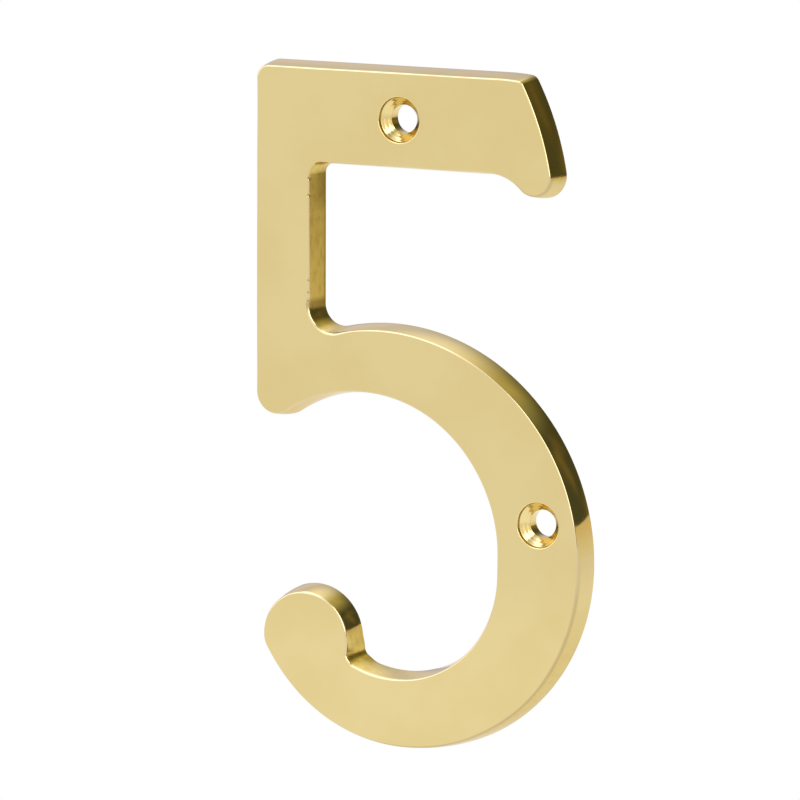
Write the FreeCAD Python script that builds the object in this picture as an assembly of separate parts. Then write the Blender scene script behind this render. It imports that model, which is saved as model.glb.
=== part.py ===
import FreeCAD, Part
import math
import os
from FreeCAD import Vector

# Brass door number: the figure 5, cast in one piece and held to the door by two countersunk screws.
# +Z is up, +X is to the right as the figure is read, and the front looks along -Y.
# The back lies on the door at Y = 0, and the axis of the upper screw hole passes through the origin.
# Sizes are in millimetres and angles in degrees. The outline is drawn from its left side and its lowest
# point, and its sizes are taken at the back, where the figure is largest.

# Size of the figure
overall_height = 101.6
overall_width = 55.0
thickness = 4.2

# Side walls, which lean inwards from back to front, and the eased front edge
draft_angle = 8.5
front_edge_radius = 0.3

# A corner's radius is its tightest: at the front where the corner stands out, at the back where it is hollow

# Stem and its foot
stem_width = 10.1
stem_top_radius = 1.7
stem_root_radius = 2.7
foot_radius = 3.0
foot_drop = 4.4

# Top bar, with a sloping end that hangs down in a hook
bar_height = 15.1
bar_length = 44.8
bar_droop_length = 4.3
bar_droop_radius = 35.0
bar_corner_radius = 0.75
bar_end_radius = 43.0
bar_root_radius = 1.4
hook_reach = 50.0
hook_drop = 3.0
hook_radius = 3.5
hook_hollow_radius = 7.0

# Outside of the bowl, in arcs that touch at its right side and at its lowest point
bowl_upper_radius = 33.3
bowl_lower_radius = 30.1

# Inside of the bowl, set by the breadth of the stroke at its top, side and bottom
bowl_top_stroke = 10.6
bowl_side_stroke = 14.5
bowl_bottom_stroke = 11.4
counter_lower_radius = 16.6
counter_straight = 2.8
counter_heel_rise = 1.25

# Ball at the end of the bowl
ball_radius = 7.7
ball_setback = 1.2
ball_top = 23.2
ball_heel_radius = 3.4
ball_root_radius = 1.2

# Screw holes, each with a countersink below a short straight lip with an eased rim
screw_hole_diameter = 4.2
countersink_diameter = 6.7
countersink_angle = 90.0
countersink_lip_depth = 0.35
countersink_rim_radius = 0.15
upper_hole_inset = 24.5
lower_hole_height = 36.0

# Side wall in section: how deep the easing is, and how far the wall has come in where it starts and ends
draft = math.radians(draft_angle)
easing_reach = front_edge_radius * math.tan((math.pi / 2 - draft) / 2)
easing_depth = easing_reach * math.cos(draft)
easing_inset = (thickness - easing_depth) * math.tan(draft)
front_inset = thickness * math.tan(draft) + easing_reach

# Directions
left = Vector(-1, 0, 0)
right = Vector(1, 0, 0)
up = Vector(0, 0, 1)
down = Vector(0, 0, -1)
into_door = Vector(0, 1, 0)
to_front = Vector(0, -1, 0)


def at(x, z):
    """Point of the outline, measured from the left side and the lowest point of the figure."""
    return Vector(x, 0, z)


def left_of(direction):
    """A direction turned a quarter to the left, as seen from the front."""
    return Vector(-direction.z, 0, direction.x)


class Straight:
    """A straight line of the outline, with the brass on its left."""

    def __init__(self, start, direction):
        self.start = start
        self.direction = direction

    def towards_brass(self, point):
        """Direction from a point of the line into the brass."""
        return left_of(self.direction)

    def shifted(self, distance):
        """The same line, moved into the brass."""
        return Straight(self.start + left_of(self.direction) * distance, self.direction)

    def nearest(self, point):
        """Point of the line nearest to another point."""
        return self.start + self.direction * (point - self.start).dot(self.direction)

    def edge(self, start, end):
        """The stretch from start to end."""
        return Part.LineSegment(start, end).toShape()

    def sweep(self, section, start, end):
        """Faces left by a section that is carried from start to end."""
        return section.extrude(end - start).Faces


class Arc:
    """A circle of the outline: the radius is positive where the brass bulges, negative where it is hollow."""

    def __init__(self, centre, radius):
        self.centre = centre
        self.radius = radius

    def towards_brass(self, point):
        """Direction from a point of the circle into the brass."""
        return (self.centre - point).normalize() * math.copysign(1, self.radius)

    def shifted(self, distance):
        """The circle about the same centre, moved into the brass."""
        return Arc(self.centre, self.radius - distance)

    def nearest(self, point):
        """Point of the circle nearest to another point."""
        return self.centre + (point - self.centre).normalize() * abs(self.radius)

    def turn(self, start, end):
        """Angle from start to end, going with the brass on the left."""
        start_spoke = start - self.centre
        end_spoke = end - self.centre
        start_angle = math.atan2(start_spoke.z, start_spoke.x)
        end_angle = math.atan2(end_spoke.z, end_spoke.x)
        if self.radius > 0:
            return (end_angle - start_angle) % (2 * math.pi)
        return -((start_angle - end_angle) % (2 * math.pi))

    def edge(self, start, end):
        """The stretch from start to end."""
        half_turn = self.turn(start, end) / 2
        spoke = start - self.centre
        middle = self.centre + spoke * math.cos(half_turn) + left_of(spoke) * math.sin(half_turn)
        return Part.Arc(start, middle, end).toShape()

    def sweep(self, section, start, end):
        """Faces left by a section that is carried round from start to end."""
        return section.revolve(self.centre, to_front, math.degrees(self.turn(start, end))).Faces


def crossings(first, second):
    """Points where two guides of the outline cross."""
    if isinstance(first, Arc) and isinstance(second, Straight):
        return crossings(second, first)
    if isinstance(second, Straight):
        across = left_of(second.direction)
        run = (second.start - first.start).dot(across) / first.direction.dot(across)
        return [first.start + first.direction * run]
    if isinstance(first, Straight):
        middle = first.nearest(second.centre)
        along = first.direction
        half_chord = math.sqrt(second.radius ** 2 - (middle - second.centre).Length ** 2)
    else:
        gap = second.centre - first.centre
        run = (first.radius ** 2 - second.radius ** 2 + gap.Length ** 2) / (2 * gap.Length)
        along = left_of(Vector(gap).normalize())
        middle = first.centre + Vector(gap).normalize() * run
        half_chord = math.sqrt(first.radius ** 2 - run ** 2)
    return [middle - along * half_chord, middle + along * half_chord]


def corner(before, after, radius, near):
    """Arc that rounds the corner between two guides, with its centre nearest to a given point."""
    centres = crossings(before.shifted(radius), after.shifted(radius))
    return Arc(min(centres, key=near.distanceToPoint), radius)


def bulging_corner(before, after, radius, near):
    """Rounded corner that stands out, tightest at the front."""
    return corner(before, after, radius + front_inset, near)


def hollow_corner(before, after, radius, near):
    """Rounded corner that is cut in, tightest at the back."""
    return corner(before, after, -radius, near)


def arc_between(start, towards_centre, other, hollow):
    """Arc that leaves a point at right angles to a direction and runs on until it touches another arc."""
    sign = -1 if hollow else 1
    gap = other.centre - start
    rise = gap.dot(towards_centre)
    radius = (gap.Length ** 2 - other.radius ** 2) / (2 * (rise - sign * other.radius))
    return Arc(start + towards_centre * radius, sign * radius)


def joint(before, after):
    """Point where two guides that touch pass into each other."""
    if isinstance(before, Straight):
        return before.nearest(after.centre)
    if isinstance(after, Straight):
        return after.nearest(before.centre)
    larger, smaller = sorted((before, after), key=lambda arc: -abs(arc.radius))
    return larger.nearest(smaller.centre)


def figure_outline():
    """Guides of the figure 5 at the back, in order round it with the brass on their left."""
    # Inside of the bowl: two arcs on its right, joined by a short straight
    counter_right = overall_width - bowl_side_stroke
    counter_top = bowl_lower_radius + bowl_upper_radius - bowl_top_stroke
    counter_low_z = bowl_bottom_stroke + counter_lower_radius
    counter_high_z = counter_low_z + counter_straight
    counter_upper_radius = counter_top - counter_high_z
    counter_upper = Arc(at(counter_right - counter_upper_radius, counter_high_z), -counter_upper_radius)
    counter_side = Straight(at(counter_right, 0), down)
    counter_lower = Arc(at(counter_right - counter_lower_radius, counter_low_z), -counter_lower_radius)

    # Foot of the stem, and the arc inside the bowl from its highest point to the foot
    foot_end = foot_radius + front_inset
    foot = Arc(at(foot_end, counter_top - foot_drop + foot_end), foot_end)
    counter_crown = arc_between(at(counter_upper.centre.x, counter_top), down, foot, hollow=True)

    # Ball with a tighter heel on its left and a hollow root on its right, and the arc inside the bowl to it
    ball = Arc(at(ball_setback + ball_radius, ball_top - ball_radius), ball_radius)
    heel_end = ball_heel_radius + front_inset
    ball_heel = Arc(at(ball_setback + heel_end, ball.centre.z), heel_end)
    root_level = Straight(at(0, bowl_bottom_stroke + counter_heel_rise), left)
    ball_root = hollow_corner(ball, root_level, ball_root_radius, ball.centre + right * ball_radius)
    counter_heel = arc_between(at(counter_lower.centre.x, bowl_bottom_stroke), up, ball_root, hollow=True)

    # Outside of the bowl, with an arc from its lowest point to the heel of the ball
    bowl_lower = Arc(at(overall_width - bowl_lower_radius, bowl_lower_radius), bowl_lower_radius)
    bowl_upper = Arc(at(overall_width - bowl_upper_radius, bowl_lower_radius), bowl_upper_radius)
    bowl_heel = arc_between(at(bowl_lower.centre.x, 0), up, ball_heel, hollow=False)

    # Stem and top bar
    under_bar = overall_height - bar_height
    stem_left = Straight(at(0, 0), down)
    stem_right = Straight(at(stem_width, 0), up)
    bar_underside = Straight(at(0, under_bar), right)
    bar_top = Straight(at(0, overall_height), left)
    bar_droop = Arc(at(bar_length - bar_droop_length, overall_height - bar_droop_radius), bar_droop_radius)
    bar_tip = at(bar_length, overall_height)
    hook = Arc(at(hook_reach - hook_radius, under_bar - hook_drop + hook_radius), hook_radius)
    end_centres = crossings(Arc(bar_tip, bar_end_radius), Arc(hook.centre, bar_end_radius - hook_radius))
    bar_end = Arc(min(end_centres, key=lambda centre: centre.x), bar_end_radius)

    # Corners, each looked for beside the place where it lies
    stem_root = hollow_corner(bowl_upper, stem_right, stem_root_radius, at(stem_width, counter_top))
    bar_root = hollow_corner(stem_right, bar_underside, bar_root_radius, at(stem_width, under_bar))
    hook_hollow = hollow_corner(bar_underside, hook, hook_hollow_radius, at(0, under_bar))
    bar_corner = bulging_corner(bar_end, bar_droop, bar_corner_radius, bar_tip)
    stem_top = bulging_corner(bar_top, stem_left, stem_top_radius, at(0, overall_height))

    return [stem_left, foot, counter_crown, counter_upper, counter_side, counter_lower, counter_heel,
            ball_root, ball, ball_heel, bowl_heel, bowl_lower, bowl_upper, stem_root, stem_right, bar_root,
            bar_underside, hook_hollow, hook, bar_end, bar_corner, bar_droop, bar_top, stem_top]


def eased_corner(low, high, centre, radius):
    """Edge of an eased corner from low to high, about a centre."""
    outward = (low - centre) + (high - centre)
    return Part.Arc(low, centre + outward.normalize() * radius, high).toShape()


def wall_section(foot_point, inward):
    """Section of the side wall above a point of the outline: a leaning line and the eased front edge."""
    lean_end = foot_point + inward * easing_inset + to_front * (thickness - easing_depth)
    front = foot_point + inward * front_inset + to_front * thickness
    lean = Part.LineSegment(foot_point, lean_end).toShape()
    easing = eased_corner(lean_end, front, front + into_door * front_edge_radius, front_edge_radius)
    return Part.Wire([lean, easing])


def flat_face(stretches, inset, rise):
    """Flat face within the outline moved inwards, raised towards the front."""
    edges = []
    for guide, start, end in stretches:
        ends = [point + guide.towards_brass(point) * inset for point in (start, end)]
        edges.append(guide.shifted(inset).edge(*ends))
    face = Part.Face(Part.Wire(edges))
    face.translate(to_front * rise)
    return face


def casting():
    """The figure before it is drilled: side walls carried round the outline and closed by two flat faces."""
    guides = figure_outline()
    ends = [joint(before, after) for before, after in zip(guides, guides[1:] + guides[:1])]
    starts = ends[-1:] + ends[:-1]
    stretches = list(zip(guides, starts, ends))
    faces = [flat_face(stretches, 0, 0), flat_face(stretches, front_inset, thickness)]
    for guide, start, end in stretches:
        section = wall_section(start, guide.towards_brass(start))
        faces.extend(guide.sweep(section, start, end))
    shell = Part.makeShell(faces)
    shell.sewShape()
    return Part.Solid(shell)


def screw_hole(mouth):
    """Cutter for a screw hole, turned about the screw's axis: hole, countersink, lip and eased rim."""
    hole_radius = screw_hole_diameter / 2
    lip_radius = countersink_diameter / 2
    cone_depth = (lip_radius - hole_radius) / math.tan(math.radians(countersink_angle / 2))

    front = to_front * thickness
    hole_back = right * hole_radius
    cone_start = hole_back + front + into_door * (countersink_lip_depth + cone_depth)
    lip_low = front + right * lip_radius + into_door * countersink_lip_depth
    rim_low = front + right * lip_radius + into_door * countersink_rim_radius
    rim_high = front + right * (lip_radius + countersink_rim_radius)
    rim_centre = rim_high + into_door * countersink_rim_radius
    profile = Part.Wire([
        Part.LineSegment(Vector(), hole_back).toShape(),
        Part.LineSegment(hole_back, cone_start).toShape(),
        Part.LineSegment(cone_start, lip_low).toShape(),
        Part.LineSegment(lip_low, rim_low).toShape(),
        eased_corner(rim_low, rim_high, rim_centre, countersink_rim_radius),
        Part.LineSegment(rim_high, front).toShape(),
        Part.LineSegment(front, Vector()).toShape(),
    ])
    cutter = Part.Face(profile).revolve(Vector(), into_door, 360)
    cutter.translate(mouth)
    return cutter


upper_hole = at(upper_hole_inset, overall_height - bar_height / 2)
lower_hole = at(overall_width - bowl_side_stroke / 2, lower_hole_height)

numeral = casting()
for hole in (upper_hole, lower_hole):
    numeral = numeral.cut(screw_hole(hole))
numeral.translate(-upper_hole)

os.makedirs("parts", exist_ok=True)
numeral.Solids[0].exportStep("parts/numeral.step")
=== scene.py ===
"""Brass door number: the figure 5 cast in one piece, polished, and photographed against white.

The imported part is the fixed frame. This script builds the finely finished casting that stands for it,
dresses it in brass, and sets up the studio and the camera. Lengths are in metres: +Z is up, +X is to the
right as the figure is read, the front looks along -Y, and the back lies on the door at Y = 0.
"""

import logging
import math
from dataclasses import dataclass, field
from enum import Enum
from functools import cached_property
from typing import Sequence, Union

import bpy
import numpy as np
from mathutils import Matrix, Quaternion, Vector
from mathutils.geometry import tessellate_polygon


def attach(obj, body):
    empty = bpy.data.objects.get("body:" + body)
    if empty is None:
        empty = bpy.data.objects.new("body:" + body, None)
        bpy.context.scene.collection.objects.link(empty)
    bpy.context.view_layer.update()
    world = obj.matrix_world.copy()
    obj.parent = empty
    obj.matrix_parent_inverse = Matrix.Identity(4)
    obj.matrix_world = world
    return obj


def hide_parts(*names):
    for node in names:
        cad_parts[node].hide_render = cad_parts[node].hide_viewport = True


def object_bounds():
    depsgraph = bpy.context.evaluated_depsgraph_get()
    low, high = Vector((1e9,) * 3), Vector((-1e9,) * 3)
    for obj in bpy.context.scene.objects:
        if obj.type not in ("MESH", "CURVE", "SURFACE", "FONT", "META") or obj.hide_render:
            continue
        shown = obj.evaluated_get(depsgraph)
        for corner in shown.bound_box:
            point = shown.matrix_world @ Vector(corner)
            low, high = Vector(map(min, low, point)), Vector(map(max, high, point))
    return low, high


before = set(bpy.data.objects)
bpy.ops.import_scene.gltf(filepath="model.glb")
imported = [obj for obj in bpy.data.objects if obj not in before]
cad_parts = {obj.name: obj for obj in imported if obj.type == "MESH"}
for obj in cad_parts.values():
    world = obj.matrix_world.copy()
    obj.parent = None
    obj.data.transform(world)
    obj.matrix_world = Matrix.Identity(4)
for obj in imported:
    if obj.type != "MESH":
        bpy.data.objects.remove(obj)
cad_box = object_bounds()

LOG = logging.getLogger("door_number")
MM = 0.001
MICRON = 0.001 * MM
THICKNESS = 4.2 * MM

DIAGONAL = 0.707
SKIN_AND_SHADE_LAYER = "cast_skin_and_shade"
# Mesh layer of painted shade: darker, rougher brass in the nicks, under the countersinks' lips, in the holes
# and on patches of the side wall.
PAINTED_SHADE_LAYER = "painted_shade"

LEFT = Vector((-1.0, 0.0))
RIGHT = Vector((1.0, 0.0))
UP = Vector((0.0, 1.0))
DOWN = Vector((0.0, -1.0))
FORWARD = Vector((0.0, -1.0, 0.0))
BACKWARD = Vector((0.0, 1.0, 0.0))
UPWARD = Vector((0.0, 0.0, 1.0))

Colour = tuple[float, float, float]
Socket = bpy.types.NodeSocket
Value = Union[Socket, float, Sequence[float]]
WHITE: Colour = (1.0, 1.0, 1.0)


class Stretch(Enum):
    """Stretches of the outline, in order round the figure with the brass on their left."""

    STEM_LEFT = "left side of the stem"
    FOOT = "foot of the stem"
    COUNTER_CROWN = "inside of the bowl, from its highest point to the foot"
    COUNTER_UPPER = "inside of the bowl, upper right"
    COUNTER_SIDE = "inside of the bowl, right side"
    COUNTER_LOWER = "inside of the bowl, lower right"
    COUNTER_HEEL = "inside of the bowl, from its lowest point to the ball"
    BALL_ROOT = "hollow where the ball meets the bowl"
    BALL = "ball at the end of the bowl"
    BALL_HEEL = "tighter left side of the ball"
    BOWL_HEEL = "outside of the bowl, lower left"
    BOWL_LOWER = "outside of the bowl, lower right"
    BOWL_UPPER = "outside of the bowl, upper right"
    STEM_ROOT = "hollow where the bowl meets the stem"
    STEM_RIGHT = "right side of the stem"
    BAR_ROOT = "hollow where the stem meets the bar"
    BAR_UNDERSIDE = "underside of the bar"
    HOOK_HOLLOW = "hollow beside the hook"
    HOOK = "tip of the hook"
    BAR_END = "sloping end of the bar"
    BAR_CORNER = "upper corner of the bar's end"
    BAR_DROOP = "last stretch of the bar's top"
    BAR_TOP = "top of the bar"
    STEM_TOP = "upper left corner"


class Surface(Enum):
    """Surfaces of the casting, each with a finish of its own, numbered as the mesh's material slots."""

    FRONT = 0
    WALL = 1
    COUNTERSINK = 2
    BACK = 3
    FRONT_EDGE = 4


class Marks(Enum):
    """How the tool marks of a finish lie on the brass: stretches of the marks along X, Y and Z."""

    MIRROR = (1.0, 1.0, 1.0)
    BUFFED = (0.02, 1.0, 0.02)
    TURNED = (0.25, 1.0, 0.25)
    GROUND = (0.015, 1.0, 1.0)


def opaque(colour: Colour) -> tuple[float, float, float, float]:
    """A colour as Blender's sockets take it."""
    return (*colour, 1.0)


def linked(name: str, data: bpy.types.ID) -> bpy.types.Object:
    """Make an object and link it to the scene.

    Args:
        name: Name of the object.
        data: Its mesh, light or camera.

    Returns:
        The object.
    """
    made = bpy.data.objects.new(name, data)
    bpy.context.scene.collection.objects.link(made)
    return made


def quarter_left(direction: Vector) -> Vector:
    """Turn a direction a quarter to the left, as seen from the front."""
    return Vector((-direction.y, direction.x))


@dataclass(frozen=True)
class Straight:
    """A straight line of the outline, with the brass on its left."""

    start: Vector
    direction: Vector

    def shifted(self, distance: float) -> "Straight":
        """The same line, moved into the brass."""
        return Straight(self.start + quarter_left(self.direction) * distance, self.direction)

    def nearest(self, point: Vector) -> Vector:
        """Point of the line nearest to another point."""
        return self.start + self.direction * (point - self.start).dot(self.direction)

    def towards_brass(self, point: Vector) -> Vector:
        """Direction from a point of the line into the brass."""
        return quarter_left(self.direction)

    def measure(self, start: Vector, end: Vector) -> tuple[float, float]:
        """Length of the stretch from start to end, and the angle that it turns by."""
        return (end - start).length, 0.0

    def along(self, start: Vector, end: Vector, share: float) -> Vector:
        """Point at a share of the way from start to end."""
        return start.lerp(end, share)


@dataclass(frozen=True)
class Arc:
    """A circle of the outline: the radius is positive where the brass bulges, negative where it is hollow."""

    centre: Vector
    radius: float

    def shifted(self, distance: float) -> "Arc":
        """The circle about the same centre, moved into the brass."""
        return Arc(self.centre, self.radius - distance)

    def nearest(self, point: Vector) -> Vector:
        """Point of the circle nearest to another point."""
        return self.centre + (point - self.centre).normalized() * abs(self.radius)

    def towards_brass(self, point: Vector) -> Vector:
        """Direction from a point of the circle into the brass."""
        return (self.centre - point).normalized() * math.copysign(1.0, self.radius)

    def turn(self, start: Vector, end: Vector) -> float:
        """Angle from start to end, going with the brass on the left.

        Args:
            start: Point of the circle where the stretch starts.
            end: Point of the circle where it ends.

        Returns:
            The angle in radians, positive to the left.
        """
        first = start - self.centre
        last = end - self.centre
        angle = math.atan2(last.y, last.x) - math.atan2(first.y, first.x)
        if self.radius > 0:
            return angle % math.tau
        return -(-angle % math.tau)

    def measure(self, start: Vector, end: Vector) -> tuple[float, float]:
        """Length of the stretch from start to end, and the angle that it turns by."""
        angle = abs(self.turn(start, end))
        return angle * abs(self.radius), angle

    def along(self, start: Vector, end: Vector, share: float) -> Vector:
        """Point at a share of the way from start to end.

        Args:
            start: Point of the circle where the stretch starts.
            end: Point of the circle where it ends.
            share: Share of the way.

        Returns:
            The point.
        """
        angle = self.turn(start, end) * share
        spoke = start - self.centre
        return self.centre + spoke * math.cos(angle) + quarter_left(spoke) * math.sin(angle)


Guide = Union[Straight, Arc]


def crossings(first: Guide, second: Guide) -> list[Vector]:
    """Points where two guides cross, of which at least one is an arc.

    Args:
        first: One guide.
        second: The other guide.

    Returns:
        The two crossings.
    """
    if isinstance(second, Straight):
        return crossings(second, first)
    if isinstance(first, Straight):
        middle = first.nearest(second.centre)
        along = first.direction
        half_chord = math.sqrt(second.radius ** 2 - (middle - second.centre).length_squared)
    else:
        gap = second.centre - first.centre
        run = (first.radius ** 2 - second.radius ** 2 + gap.length_squared) / (2 * gap.length)
        along = quarter_left(gap.normalized())
        middle = first.centre + gap.normalized() * run
        half_chord = math.sqrt(first.radius ** 2 - run ** 2)
    return [middle - along * half_chord, middle + along * half_chord]


def line_crossing(first: Straight, second: Straight) -> Vector:
    """Point where two straight guides cross.

    Args:
        first: One guide.
        second: The other guide.

    Returns:
        The crossing.
    """
    across = quarter_left(second.direction)
    run = (second.start - first.start).dot(across) / first.direction.dot(across)
    return first.start + first.direction * run


def corner(before: Guide, after: Guide, radius: float, near: Vector) -> Arc:
    """Arc that rounds the corner between two guides.

    Args:
        before: Guide that runs into the corner.
        after: Guide that runs out of it.
        radius: Radius of the corner, negative where it is hollow.
        near: Place beside which the arc's centre is looked for.

    Returns:
        The rounding arc.
    """
    inner_before = before.shifted(radius)
    inner_after = after.shifted(radius)
    if isinstance(before, Straight) and isinstance(after, Straight):
        return Arc(line_crossing(inner_before, inner_after), radius)
    centres = crossings(inner_before, inner_after)
    return Arc(min(centres, key=lambda centre: (centre - near).length), radius)


def arc_between(start: Vector, towards_centre: Vector, other: Arc, hollow: bool) -> Arc:
    """Arc that leaves a point at right angles to a direction and runs on until it touches another arc.

    Args:
        start: Point where the arc starts.
        towards_centre: Direction from that point to the arc's centre.
        other: Arc that it runs on to.
        hollow: Whether the new arc is hollow.

    Returns:
        The arc.
    """
    sign = -1.0 if hollow else 1.0
    gap = other.centre - start
    rise = gap.dot(towards_centre)
    radius = (gap.length_squared - other.radius ** 2) / (2 * (rise - sign * other.radius))
    return Arc(start + towards_centre * radius, sign * radius)


def joint(before: Guide, after: Guide) -> Vector:
    """Point where two guides that touch pass into each other.

    Args:
        before: Guide that runs into the point.
        after: Guide that runs on from it.

    Returns:
        The point.
    """
    if isinstance(before, Straight):
        return before.nearest(after.centre)
    if isinstance(after, Straight):
        return after.nearest(before.centre)
    larger, smaller = sorted((before, after), key=lambda arc: -abs(arc.radius))
    return larger.nearest(smaller.centre)


def eased_edge(centre: Sequence[float], radius: float, tilts: tuple[float, float], steps: int) -> np.ndarray:
    """Points of a profile's eased edge about a centre, from its first tilt to its last."""
    tilt = np.linspace(*tilts, steps + 1)
    return np.array(centre) + radius * np.column_stack((-np.cos(tilt), np.sin(tilt)))


@dataclass(frozen=True)
class WallSection:
    """Section of the side wall: eased edges at the back and front, and a leaning, slightly crowned wall."""

    thickness: float = THICKNESS
    draft: float = math.radians(8.5)
    front_easing: float = 0.25 * MM
    back_easing: float = 0.12 * MM
    crown: float = 0.095 * MM
    easing_steps: int = 8
    wall_steps: int = 6

    @property
    def front_inset(self) -> float:
        """How far the front face's edge lies inside the outline of the back."""
        return self.inset(self.front_easing, self.draft)

    def inset(self, easing: float, lean: float) -> float:
        """How far the front face's edge lies inside the outline, for that front edge and draft."""
        return self.thickness * math.tan(lean) + easing * math.tan((math.pi / 2 - lean) / 2)

    def rows(self, easing: float, lean: float) -> np.ndarray:
        """Points of the section from the back face to the front face.

        Args:
            easing: Radius of the front edge here.
            lean: Draft of the wall here.

        Returns:
            One row for each point: how far it lies inside the outline, and how far it rises from the back.
        """
        back_reach = self.back_easing / math.tan((math.pi / 2 - lean) / 2)
        back_centre = (back_reach, self.back_easing)
        back = eased_edge(back_centre, self.back_easing, (-math.pi / 2, lean), self.easing_steps // 2)
        front_centre = (self.inset(easing, lean), self.thickness - easing)
        front = eased_edge(front_centre, easing, (lean, math.pi / 2), self.easing_steps)
        share = np.linspace(0.0, 1.0, self.wall_steps + 1)[1:-1, None]
        wall = back[-1] * (1 - share) + front[0] * share
        # A parabola that is 1 halfway up the wall
        bulge = 4 * share * (1 - share)
        wall[:, :1] -= self.crown * bulge
        return np.vstack((back, wall, front))


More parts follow.
